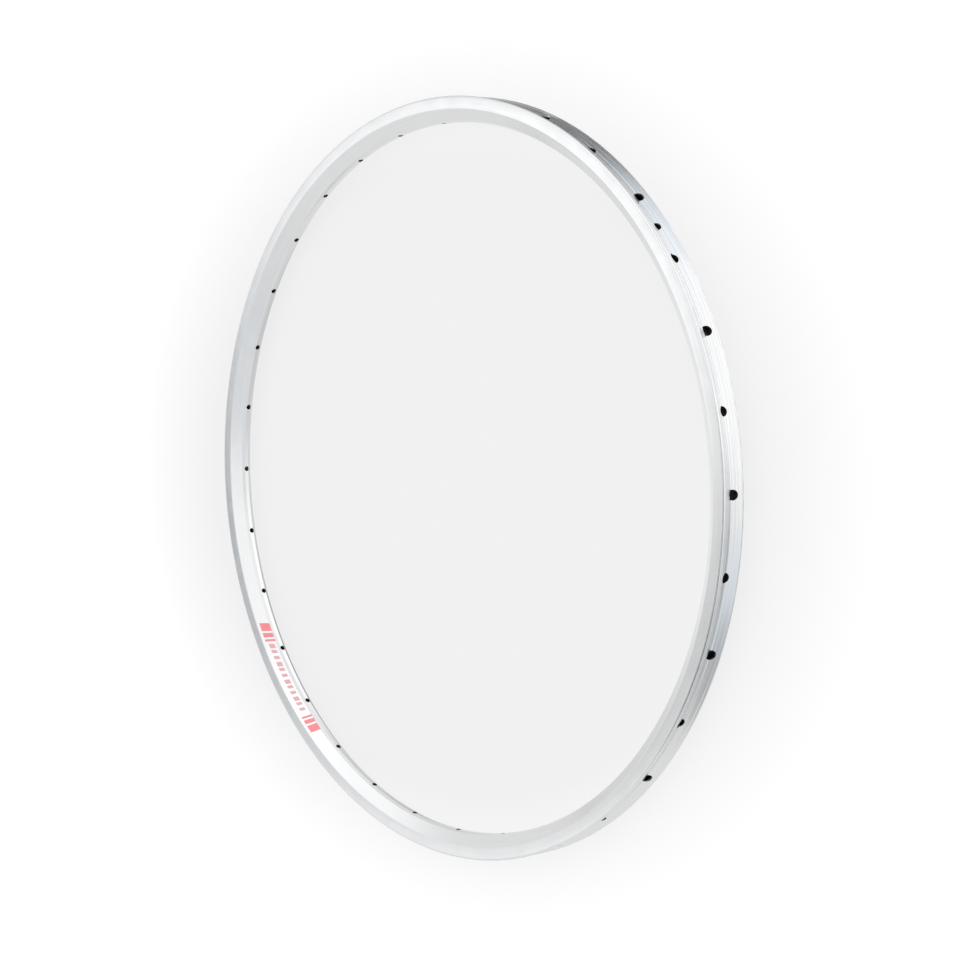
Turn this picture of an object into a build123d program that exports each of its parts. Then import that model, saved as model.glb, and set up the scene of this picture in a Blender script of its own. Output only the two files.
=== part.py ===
"""Bicycle rim for a glued-on (tubular) tyre: one rolled aluminium extrusion, hollow all the way round.

The rim lies flat. The origin is the centre of the wheel, Z is the axle line, and the valve hole is at +X.
All sizes are in millimetres and degrees.
"""
import os
from math import asin, atan2, cos, degrees, hypot, pi, radians, sin, tan

from build123d import *

# Overall size of the hoop
crown_radius = 316.5    # highest line of the tyre lips
half_width = 11.3       # mid-plane to each brake track
section_depth = 20.9    # lip crown to spoke face
track_height = 10.5     # lip crown to the foot of the flat brake track

# Outer section
nose_half = 3.3         # half the breadth of the spoke face, to where its edges would meet the flanks
nose_bevel = 1.6        # eased edge between spoke face and flank
foot_bevel = 0.4        # eased edge between flank and brake track
lip_round = 1.8         # rounding of each tyre lip
lip_flats = 3           # the rounding is drawn as this many narrow bands
bed_drop = 3.5          # lip crown down to the middle of the tyre bed

# Walls of the extrusion
spoke_wall = 1.9
flank_wall = 0.95
track_wall = 1.3
bed_wall = 1.1

# Drilling
spoke_count = 32
spoke_hole = 4.5        # at the spoke face, takes the nipple barrel
access_hole = 8.0       # through the tyre bed, takes the nipple head and its driver
access_offset = 1.4     # each access hole sits this far off the mid-plane, to either side in turn
valve_hole = 6.5

# Radii that follow from those above
spoke_radius = crown_radius - section_depth
foot_radius = crown_radius - track_height
bed_radius = crown_radius - bed_drop
chamber_floor = spoke_radius + spoke_wall
chamber_side = half_width - track_wall

# The tyre bed rises from its middle to touch the rounding of each lip.
lip_r = crown_radius - lip_round
lip_z = half_width - lip_round
lip_reach = hypot(lip_r - bed_radius, lip_z)
bed_slope = atan2(lip_r - bed_radius, lip_z) + asin(lip_round / lip_reach)
lip_turns = [(pi / 2 + bed_slope) * n / lip_flats for n in range(lip_flats + 1)]
lip_points = [(lip_r + lip_round * sin(turn), lip_z + lip_round * cos(turn)) for turn in lip_turns]

# Each flank leans from the spoke face out to the foot of its brake track.
nose_edge = (spoke_radius, nose_half)
foot = (foot_radius, half_width)
flank_lean = atan2(foot[0] - nose_edge[0], foot[1] - nose_edge[1])

# Drilling layout
spoke_step = 360 / spoke_count
drill_tilt = degrees(atan2(access_offset, section_depth - bed_drop))
chamber_middle = (spoke_wall + section_depth - bed_drop - bed_wall) / 2


def inner_flank_z(r):
    """Half breadth of the chamber, between the flanks, at radius r."""
    return nose_edge[1] + (r - nose_edge[0]) / tan(flank_lean) - flank_wall / sin(flank_lean)


def inner_flank_r(z):
    """Radius at which the chamber, between the flanks, has the half breadth z."""
    return nose_edge[0] + (z - nose_edge[1] + flank_wall / sin(flank_lean)) * tan(flank_lean)


def inner_bed_r(z):
    """Radius of the underside of the tyre bed at a distance z from the mid-plane."""
    return bed_radius - bed_wall / cos(bed_slope) + z * tan(bed_slope)


def drill_plane(angle, tilt):
    """Plane on the spoke face at this angle round the rim; its normal runs out along the drilled line."""
    turn = radians(angle)
    lean = radians(tilt)
    return Plane(
        origin=(spoke_radius * cos(turn), spoke_radius * sin(turn), 0),
        x_dir=(-cos(turn) * sin(lean), -sin(turn) * sin(lean), cos(lean)),
        z_dir=(cos(turn) * cos(lean), sin(turn) * cos(lean), sin(lean)),
    )


# The section is drawn where the two ends of the extrusion meet, opposite the valve.
section_plane = Plane(origin=(0, 0, 0), x_dir=(-1, 0, 0), z_dir=(0, 1, 0))

# The first hole past the valve leans to -Z, the next to +Z, and so on round the rim.
spoke_drills = [
    drill_plane((n + 0.5) * spoke_step, -drill_tilt if n % 2 == 0 else drill_tilt)
    for n in range(spoke_count)
]
valve_drill = drill_plane(0, 0)

with BuildPart() as rim:
    # Outer shape: one half from spoke face to tyre bed, then its mirror image across the mid-plane
    with BuildSketch(section_plane) as outer:
        with BuildLine():
            Polyline((bed_radius, 0), (spoke_radius, 0), nose_edge, foot, *lip_points, close=True)
        make_face()
        chamfer(outer.vertices().filter_by(lambda v: v.Y > 0).sort_by(Axis.X)[0], nose_bevel)
        chamfer(outer.vertices().filter_by(lambda v: v.X < foot[0] + 0.01).sort_by(Axis.X)[-1], foot_bevel)
        mirror(about=Plane.XZ)
    revolve(axis=Axis.Z)

    # The one closed chamber that runs round inside it
    with BuildSketch(section_plane) as chamber:
        with BuildLine():
            Polyline(
                (inner_bed_r(0), 0),
                (chamber_floor, 0),
                (chamber_floor, inner_flank_z(chamber_floor)),
                (inner_flank_r(chamber_side), chamber_side),
                (inner_bed_r(chamber_side), chamber_side),
                close=True,
            )
        make_face()
        mirror(about=Plane.XZ)
    revolve(axis=Axis.Z, mode=Mode.SUBTRACT)

    # Nipple holes through the spoke face, and the wider access holes through the tyre bed on the same lines.
    # The drill starts one wall thickness short of the spoke face.
    base = (Align.CENTER, Align.CENTER, Align.MIN)
    with Locations(*[drill.offset(-spoke_wall) for drill in spoke_drills]):
        Cylinder(spoke_hole / 2, spoke_wall + chamber_middle, align=base, mode=Mode.SUBTRACT)
    with Locations(*[drill.offset(chamber_middle) for drill in spoke_drills]):
        Cylinder(access_hole / 2, section_depth, align=base, mode=Mode.SUBTRACT)

    # Valve hole, straight through both walls on the mid-plane
    with Locations(valve_drill.offset(-spoke_wall)):
        Cylinder(valve_hole / 2, spoke_wall + section_depth, align=base, mode=Mode.SUBTRACT)

rim.part.label = "rim"
os.makedirs("parts", exist_ok=True)
export_step(rim.part, "parts/rim.step")
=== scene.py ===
"""Looks for the bicycle rim: satin aluminium, a striped sticker, pale floor, soft studio light."""
import math

import bmesh
import bpy
from mathutils import Matrix, Vector


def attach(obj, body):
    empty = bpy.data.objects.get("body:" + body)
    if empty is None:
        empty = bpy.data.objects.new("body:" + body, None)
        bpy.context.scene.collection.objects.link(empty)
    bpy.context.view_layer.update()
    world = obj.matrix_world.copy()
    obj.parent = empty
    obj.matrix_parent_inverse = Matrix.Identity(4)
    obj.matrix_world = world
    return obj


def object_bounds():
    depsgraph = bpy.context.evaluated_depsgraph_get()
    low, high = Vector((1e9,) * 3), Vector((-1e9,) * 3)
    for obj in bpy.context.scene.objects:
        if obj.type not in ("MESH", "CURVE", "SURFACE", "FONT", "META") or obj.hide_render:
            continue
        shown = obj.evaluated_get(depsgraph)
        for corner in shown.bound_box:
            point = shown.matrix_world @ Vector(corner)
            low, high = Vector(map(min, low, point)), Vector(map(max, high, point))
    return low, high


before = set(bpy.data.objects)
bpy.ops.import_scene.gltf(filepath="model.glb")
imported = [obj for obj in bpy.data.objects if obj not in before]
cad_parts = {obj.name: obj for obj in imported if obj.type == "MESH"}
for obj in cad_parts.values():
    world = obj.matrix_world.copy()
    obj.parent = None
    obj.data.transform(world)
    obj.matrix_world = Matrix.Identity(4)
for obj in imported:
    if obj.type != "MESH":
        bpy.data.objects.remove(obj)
cad_low, cad_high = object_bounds()
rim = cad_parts["rim"]

# Places on the rim's section that the looks follow, in metres
FOOT = (0.3060, 0.0113)         # where flank and brake track meet: radius, height over mid-plane
NOSE = (0.2956, 0.0033)         # where flank and spoke face would meet, likewise
FLANK = Vector((FOOT[0] - NOSE[0], FOOT[1] - NOSE[1]))
NOSE_BEVEL = 0.0016             # eased edge of the spoke face
BED_RADIUS = 0.3130             # middle of the tyre bed
BED_SLOPE = 0.365               # how fast the bed rises to either side
LIP_FROM = 0.3143               # the lips lie beyond this radius, and either
LIP_CREST = 0.3160              # beyond this one
LIP_SIDE = 0.0105               # or further than this from the mid-plane
LIP_JOIN = 0.000002             # points of the lip bands this close are one point
FACE_WEIGHT = 80                # how far broad faces set the normals at their edges

# Grain of the metal: scales of radius, height and angle, then detail
FINE_LINES = ((2600.0, 2600.0, 2.0), 3.0)
TINT_BANDS = ((420.0, 420.0, 5.0), 2.0)
BED_STREAKS = ((420.0, 420.0, 0.8), 2.0)
CLOUDING = ((60.0, 60.0, 60.0), 4.0)    # scales of x, y and z

# Noise: its mean, and the parts of its range that ramps spread out
NOISE_MEAN = 0.5
NOISE_MIDDLE = (0.35, 0.65)
NOISE_RANGE = (0.3, 0.7)

# Metal: colours, roughness and bump, with depths and heights in metres
METAL_TONES = ((0.825, 0.830, 0.836, 1), (0.845, 0.850, 0.856, 1))
# painted shade: the dark colour inside the chamber and the holes into it
PAINTED_INSIDE_SHADE = (0.24, 0.225, 0.23, 1)
LINE_ROUGHNESS = (0.18, 0.22)
CLOUD_ROUGHNESS = (-0.015, 0.03)
INSIDE_ROUGHNESS = 0.4          # added to the others
SKIN = (0.00012, 0.00045)       # depths over which the skin turns to the painted shade inside
ABOVE_BED = (0.0006, 0.0014)    # heights over the middle of the bed at which the painted shade inside ends
BED_SKIN = (0.0003, 0.0009)     # depths over which the bed's streaks end
LINE_HEIGHT = 0.008             # of the fine lines, as a part of the bump
BUMP_DISTANCE = 0.0004

# The sticker lies on the upper flank, opposite the valve hole.
# Its film is in metres, its layout in millimetres.
STICKER_AT = math.pi
STICKER_TOP = 0.00010
STICKER_BOTTOM = -0.00005
STICKER_STEP = 1.5
MM_PER_M = 1000
# Blocks: start and width
END_BLOCKS = ((-60, 8.0), (-50, 4.4), (-43.6, 2.2), (41.4, 2.2), (45.6, 4.4), (52, 8.0))
BAR_START, BAR_STEP, BAR_COUNT = -38, 6.4, 12
BAR_WIDTH, THIRD_BAR_WIDTH = 2.6, 4.0
BARS = [(BAR_START + BAR_STEP * k, BAR_WIDTH if k % 3 else THIRD_BAR_WIDTH)
        for k in range(BAR_COUNT)]
LINE_GAP, LINE_WIDTH = 0.2, 0.7
# Spans: near edge, far edge and slant
END_BLOCK_SPAN = (2.8, 12.0, 3.6)
BAR_SPAN = (4.8, 9.8, 2.0)
LINE_SPAN = (5.3, 10.3, 2.0)

# Printing inks
INK_RED = (1.0, 0.30, 0.32, 1)
INK_PINK = (0.94, 0.46, 0.49, 1)
INK_GREY = (0.58, 0.56, 0.64, 1)
# painted light: the inks glow faintly so that they look brighter
INK_PAINTED_GLOW = 0.12
INK_ROUGHNESS = (0.32, 0.45)
SPECK_SHADE = 0.96
SPECK_SCALE, SPECK_DETAIL = 900.0, 2.0

# Floor, in metres: painted light glows from it, evenly near the middle of the picture and whiter
# outside it
FLOOR_HALF = 20.0
FLOOR_GAP = 0.0002
FLOOR_TONE = (0.16, 0.16, 0.16, 1)
FLOOR_ACROSS, FLOOR_SHIFT = (0.795, -0.606, 0), 0.025
FLOOR_ALONG, FLOOR_STRETCH = (0.606, 0.795, 0), 1.27
# painted light on the floor: where its glow ramps up, and how strongly it glows
PAINTED_GLOW_REACH = (0.34, 0.50)
PAINTED_FLOOR_GLOW = (0.755, 0.91)

# Camera, as fitted to the photograph
CAMERA_AT = (1.16106, -0.80055, 1.19834)
CAMERA_RIGHT = (0.497575, -0.432844, -0.751708)
CAMERA_UP = (0.605467, 0.793873, -0.05635)
CAMERA_BACK = (0.621152, -0.427096, 0.657084)
LENS, SENSOR = 83.03, 36.0
CLIP = (0.05, 100.0)

# Studio light
STUDIO_LEVEL = 0.84
SOFT_EDGE = (0.6, 1.4)          # where a panel's edge begins and ends, in parts of its half size
FAR_SIDE = SOFT_EDGE[1] / 2     # keeps a panel from showing on the far side of the studio as well
SPLIT = 7.0                     # elevation in degrees at which the studio is split in two
WHITE, COOL_WHITE = (1.0, 1.0, 1.0, 1), (0.93, 1.0, 1.06, 1)

# Soft panels of the studio: azimuth, elevation, half width and half height in degrees,
# and how much each one adds
PANELS = (
    # white walls and ceiling
    (74, 44, 26, 22, 0.29),
    (137, 43, 7, 8, 0.48),
    (159, 40, 8, 9, 0.24),
    (20, 70, 34, 20, 0.26),
    (-10, -9, 43, 11, 0.41),
    (-6, 17, 26, 9, 0.22),
    (50, 8, 24, 7, 0.19),
    (3, -49, 33, 16, 0.60),
    (147, -27, 12, 6, 0.09),
    # dim gaps, low down
    (71, -21, 28, 8.5, -0.67),
    (100, -31, 10, 6, -0.34),
    (-90, -11.5, 16.5, 10, -0.38),
    (-84, -49, 25, 12.5, -0.39),
    (132, -73, 22, 16, -0.45),
    (135, -10, 16, 12, -0.08),
    (80, -46, 24, 8, -0.30),
    # dim gaps, high up
    (147, 33, 8, 7, -0.40),
    (154, 46.5, 4.5, 6, -0.42),
    (-150, 72, 9.5, 17, -0.84),
    (-93, 36, 23, 14, -0.84),
    (-44, 50, 20, 11, -0.84),
)

# Where the white is slightly cool, in the same terms
COOL_PANELS = (
    (-73, -10, 18, 13, 1.0),
    (-78, -51, 28, 11, 1.0),
    (-85, 65, 22, 9, 0.5),
    (40, -18, 24, 14, 1.0),
    (146, 35, 9, 8, 0.5),
)


class Nodes:
    """Adds shader nodes to a tree and joins them."""

    def __init__(self, tree):
        self.tree = tree
        tree.nodes.clear()

    def add(self, kind, inputs=None, **settings):
        node = self.tree.nodes.new(kind)
        for key, value in settings.items():
            setattr(node, key, value)
        for key, value in (inputs or {}).items():
            if isinstance(value, bpy.types.NodeSocket):
                self.tree.links.new(value, node.inputs[key])
            else:
                node.inputs[key].default_value = value
        return node

    def math(self, operation, a, b=0.0):
        return self.add("ShaderNodeMath", {0: a, 1: b}, operation=operation).outputs[0]

    def dot(self, a, b):
        node = self.add("ShaderNodeVectorMath", {0: a, 1: b}, operation="DOT_PRODUCT")
        return node.outputs["Value"]

    def distance(self, a, b):
        node = self.add("ShaderNodeVectorMath", {0: a, 1: b}, operation="DISTANCE")
        return node.outputs["Value"]

    def combine(self, x, y, z):
        return self.add("ShaderNodeCombineXYZ", {0: x, 1: y, 2: z}).outputs[0]

    def hypot(self, a, b):
        squares = [self.math("MULTIPLY", value, value) for value in (a, b)]
        return self.math("SQRT", self.math("ADD", *squares))

    def ramp(self, value, low, high, to_low=0.0, to_high=1.0, soft=False):
        kind = "SMOOTHSTEP" if soft else "LINEAR"
        inputs = {0: value, 1: low, 2: high, 3: to_low, 4: to_high}
        return self.add("ShaderNodeMapRange", inputs, interpolation_type=kind).outputs[0]

    def mix(self, factor, a, b):
        return self.add("ShaderNodeMix", {0: factor, 6: a, 7: b}, data_type="RGBA").outputs[2]

    def noise(self, place, scale, detail):
        inputs = {"Vector": place, "Scale": scale, "Detail": detail}
        return self.add("ShaderNodeTexNoise", inputs).outputs["Fac"]

    def grain(self, place, scales, detail):
        """Noise at a place given as three sockets, each with its own scale."""
        scaled = [self.math("MULTIPLY", part, scale) for part, scale in zip(place, scales)]
        return self.noise(self.combine(*scaled), 1.0, detail)


def new_material(name):
    material = bpy.data.materials.new(name)
    material.use_nodes = True
    return material, Nodes(material.node_tree)


def depth_in_metal(n, radius, side):
    """How far a point lies under the tyre bed, and how far under the nearest part of the skin."""
    bed = n.math("ADD", n.math("MULTIPLY", side, BED_SLOPE), BED_RADIUS)
    under_bed = n.math("SUBTRACT", bed, radius)
    past_nose = n.math("SUBTRACT", radius, NOSE[0])
    flank = n.math("ADD", n.math("MULTIPLY", past_nose, FLANK.y / FLANK.x), NOSE[1])
    under_flank = n.math("SUBTRACT", n.math("MINIMUM", flank, FOOT[1]), side)

    # The eased edge cuts the corner between spoke face and flank.
    bevel = (FLANK.normalized() * NOSE_BEVEL + Vector((0, NOSE_BEVEL))).normalized()
    past_flat = n.math("SUBTRACT", side, NOSE[1] - NOSE_BEVEL)
    outward = n.math("MULTIPLY", past_nose, bevel.y)
    sideways = n.math("MULTIPLY", past_flat, bevel.x)
    under_bevel = n.math("SUBTRACT", outward, sideways)

    under_nose = n.math("MINIMUM", past_nose, under_bevel)
    return under_bed, n.math("MINIMUM", n.math("MINIMUM", under_bed, under_nose), under_flank)


def aluminium():
    """Clear-anodised aluminium: lines along the extrusion, streaks in the tyre bed, painted shade
    inside.
    """
    material, n = new_material("anodised_aluminium")
    place = n.add("ShaderNodeTexCoord").outputs["Object"]
    x, y, z = n.add("ShaderNodeSeparateXYZ", {0: place}).outputs
    radius = n.hypot(x, y)
    angle = n.math("ARCTAN2", y, x)
    lines = n.grain((radius, z, angle), *FINE_LINES)
    bands = n.grain((radius, z, angle), *TINT_BANDS)
    drawn = n.grain((radius, z, angle), *BED_STREAKS)
    cloud = n.grain((x, y, z), *CLOUDING)

    # The chamber and the holes into it are dull, and painted dark as shade that falls inside them.
    under_bed, depth = depth_in_metal(n, radius, n.math("ABSOLUTE", z))
    below_lips = n.ramp(radius, BED_RADIUS + ABOVE_BED[0], BED_RADIUS + ABOVE_BED[1], 1.0, 0.0)
    inside_shade_and_dullness = n.math("MULTIPLY", n.ramp(depth, *SKIN, soft=True), below_lips)
    bright = n.mix(n.ramp(bands, *NOISE_MIDDLE), *METAL_TONES)
    colour = n.mix(inside_shade_and_dullness, bright, PAINTED_INSIDE_SHADE)
    line_part = n.ramp(lines, *NOISE_RANGE, *LINE_ROUGHNESS)
    cloud_part = n.ramp(cloud, *NOISE_RANGE, *CLOUD_ROUGHNESS)
    inside_part = n.math("MULTIPLY", inside_shade_and_dullness, INSIDE_ROUGHNESS)
    roughness = n.math("ADD", n.math("ADD", line_part, cloud_part), inside_part)

    on_bed = n.ramp(under_bed, *BED_SKIN, 1.0, 0.0, soft=True)
    streaks = n.math("MULTIPLY", n.math("SUBTRACT", drawn, NOISE_MEAN), on_bed)
    height = n.math("ADD", n.math("MULTIPLY", lines, LINE_HEIGHT), streaks)
    bump = n.add("ShaderNodeBump", {"Height": height, "Strength": 1.0, "Distance": BUMP_DISTANCE})
    shader = n.add("ShaderNodeBsdfPrincipled", {
        "Base Color": colour, "Metallic": 1.0, "Roughness": roughness, "Normal": bump.outputs[0]})
    n.add("ShaderNodeOutputMaterial", {0: shader.outputs[0]})
    return material


def shade_smooth(obj):
    """Rounds the look of the narrow lip bands, and keeps the broad faces flat."""
    mesh = obj.data
    mesh.shade_smooth()
    on_lips = []
    for vertex in mesh.vertices:
        radius, side = vertex.co.xy.length, abs(vertex.co.z)
        if radius > LIP_FROM and (radius > LIP_CREST or side > LIP_SIDE):
            on_lips.append(vertex.index)
    obj.vertex_groups.new(name="lips").add(on_lips, 1.0, "REPLACE")
    join = obj.modifiers.new("join_lip_bands", "WELD")
    join.vertex_group = "lips"
    join.merge_threshold = LIP_JOIN
    even = obj.modifiers.new("even_normals", "WEIGHTED_NORMAL")
    even.weight = FACE_WEIGHT


def print_ink(name, colour):
    """Bright printing ink, with a faint painted glow that brightens it."""
    material, n = new_material(name)
    place = n.add("ShaderNodeTexCoord").outputs["Object"]
    speck = n.noise(place, SPECK_SCALE, SPECK_DETAIL)
    darker = [part * SPECK_SHADE for part in colour[:3]] + [1]
    shader = n.add("ShaderNodeBsdfPrincipled", {
        "Base Color": n.mix(n.ramp(speck, *NOISE_MIDDLE), colour, darker),
        "Roughness": n.ramp(speck, *NOISE_RANGE, *INK_ROUGHNESS),
        "Emission Color": colour, "Emission Strength": INK_PAINTED_GLOW})
    n.add("ShaderNodeOutputMaterial", {0: shader.outputs[0]})
    return material


def flank_point(along, across, lift):
    """Point over the upper flank, in metres.

    It lies along the rim from the sticker's middle, and across the flank from the track's foot.
    """
    inward = -FLANK.normalized()
    outward = Vector((inward.y, -inward.x))
    radius = FOOT[0] + inward.x * across + outward.x * lift
    height = FOOT[1] + inward.y * across + outward.y * lift
    turn = STICKER_AT + along / ((FOOT[0] + NOSE[0]) / 2)
    return Vector((radius * math.cos(turn), radius * math.sin(turn), height))


def sticker_piece(name, blocks, span, ink):
    """Thin printed film on the flank: blocks that share one span."""
    near, far, slant = span
    section = ((near, STICKER_TOP), (far, STICKER_TOP),
               (far, STICKER_BOTTOM), (near, STICKER_BOTTOM))
    work = bmesh.new()
    for start, width in blocks:
        steps = max(1, math.ceil(width / STICKER_STEP))
        rows = []
        for k in range(steps + 1):
            corners = []
            for across, lift in section:
                along = start + width * k / steps + slant * (across - near) / (far - near)
                point = flank_point(along / MM_PER_M, across / MM_PER_M, lift)
                corners.append(work.verts.new(point))
            rows.append(corners)
        for a, b in zip(rows, rows[1:]):
            for i in range(4):
                j = (i + 1) % 4
                work.faces.new((a[i], a[j], b[j], b[i]))
        work.faces.new(rows[0][::-1])
        work.faces.new(rows[-1])
    bmesh.ops.recalc_face_normals(work, faces=work.faces)
    mesh = bpy.data.meshes.new(name)
    work.to_mesh(mesh)
    work.free()
    mesh.materials.append(ink)
    piece = bpy.data.objects.new(name, mesh)
    bpy.context.scene.collection.objects.link(piece)
    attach(piece, "root")


def build_sticker():
    """A plain striped decoration: red blocks at both ends, slanted bars and fine lines between."""
    lines = [(start + width + LINE_GAP, LINE_WIDTH) for start, width in BARS]
    sticker_piece("sticker_red", END_BLOCKS, END_BLOCK_SPAN, print_ink("ink_red", INK_RED))
    sticker_piece("sticker_pink", BARS, BAR_SPAN, print_ink("ink_pink", INK_PINK))
    sticker_piece("sticker_grey", lines, LINE_SPAN, print_ink("ink_grey", INK_GREY))


def pale_floor():
    """A pale floor with painted light glowing from it, whiter away from the middle of the picture.
    """
    material, n = new_material("pale_floor")
    place = n.add("ShaderNodeTexCoord").outputs["Object"]
    across = n.math("ADD", n.dot(place, FLOOR_ACROSS), FLOOR_SHIFT)
    along = n.math("MULTIPLY", n.dot(place, FLOOR_ALONG), FLOOR_STRETCH)
    # painted light: the floor glows, more strongly away from the middle of the picture
    painted_glow = n.ramp(n.hypot(across, along), *PAINTED_GLOW_REACH, *PAINTED_FLOOR_GLOW)
    shader = n.add("ShaderNodeBsdfPrincipled", {
        "Base Color": FLOOR_TONE, "Roughness": 1.0, "Specular IOR Level": 0.0,
        "Emission Color": WHITE, "Emission Strength": painted_glow})
    n.add("ShaderNodeOutputMaterial", {0: shader.outputs[0]})
    return material


def build_floor():
    """One large flat face just under the rim, kept out of the metal's reflections."""
    half, level = FLOOR_HALF, cad_low.z - FLOOR_GAP
    corners = [(-half, -half, level), (half, -half, level),
               (half, half, level), (-half, half, level)]
    mesh = bpy.data.meshes.new("floor")
    mesh.from_pydata(corners, [], [(0, 1, 2, 3)])
    mesh.materials.append(pale_floor())
    floor = bpy.data.objects.new("floor", mesh)
    bpy.context.scene.collection.objects.link(floor)
    floor.visible_glossy = False


def build_camera():
    """Stands as in the photograph, about 41 degrees above the rim's plane, and rolled with it."""
    data = bpy.data.cameras.new("camera")
    data.lens, data.sensor_width = LENS, SENSOR
    data.clip_start, data.clip_end = CLIP
    camera = bpy.data.objects.new("camera", data)
    turn = Matrix((CAMERA_RIGHT, CAMERA_UP, CAMERA_BACK)).transposed().to_4x4()
    camera.matrix_world = Matrix.Translation(CAMERA_AT) @ turn
    bpy.context.scene.collection.objects.link(camera)
    bpy.context.scene.camera = camera


def soft_panel(n, direction, azimuth, elevation, half_wide, half_high, level):
    """A soft-edged light panel, or a dim gap if level is below zero, far away in that direction."""
    azimuth, elevation = math.radians(azimuth), math.radians(elevation)
    flat = math.cos(elevation)
    middle = Vector((flat * math.cos(azimuth), flat * math.sin(azimuth), math.sin(elevation)))
    side = Vector((0, 0, 1)).cross(middle).normalized()
    rise = middle.cross(side)
    across = n.dot(direction, side / math.sin(math.radians(half_wide)))
    upward = n.dot(direction, rise / math.sin(math.radians(half_high)))
    facing = n.dot(direction, middle * FAR_SIDE)
    off = n.distance(n.combine(across, upward, facing), (0, 0, FAR_SIDE))
    return n.ramp(off, *SOFT_EDGE, level, 0.0, soft=True)


def reach(panel):
    """The lowest and the highest elevation that a panel lights, in degrees."""
    _, elevation, _, half_high, _ = panel
    return elevation - SOFT_EDGE[1] * half_high, elevation + SOFT_EDGE[1] * half_high


def studio_part(n, direction, reaches):
    """White light with the panels that reach into this part of the studio."""
    level, cool = STUDIO_LEVEL, 0.0
    for panel in filter(reaches, PANELS):
        level = n.math("ADD", soft_panel(n, direction, *panel), level)
    for panel in filter(reaches, COOL_PANELS):
        cool = n.math("ADD", soft_panel(n, direction, *panel), cool)
    strength = n.math("MAXIMUM", level, 0.0)
    colour = n.mix(cool, WHITE, COOL_WHITE)
    return n.add("ShaderNodeBackground", {"Color": colour, "Strength": strength}).outputs[0]


def build_light():
    """White studio all round, with brighter panels and dimmer gaps.

    Its two halves are worked out apart and mixed, because that renders faster.
    """
    world = bpy.data.worlds.new("studio")
    bpy.context.scene.world = world
    world.use_nodes = True
    n = Nodes(world.node_tree)
    direction = n.add("ShaderNodeTexCoord").outputs["Generated"]
    low_part = studio_part(n, direction, lambda panel: reach(panel)[0] < SPLIT)
    high_part = studio_part(n, direction, lambda panel: reach(panel)[1] > SPLIT)
    rise = n.dot(direction, (0, 0, 1))
    is_high = n.math("GREATER_THAN", rise, math.sin(math.radians(SPLIT)))
    sky = n.add("ShaderNodeMixShader", {0: is_high, 1: low_part, 2: high_part})
    n.add("ShaderNodeOutputWorld", {0: sky.outputs[0]})


metal = aluminium()
for slot in rim.material_slots:
    slot.material = metal
shade_smooth(rim)
build_sticker()
build_floor()
build_camera()
build_light()
scene = bpy.context.scene
scene.view_settings.view_transform = "Standard"
scene.view_settings.look = "None"
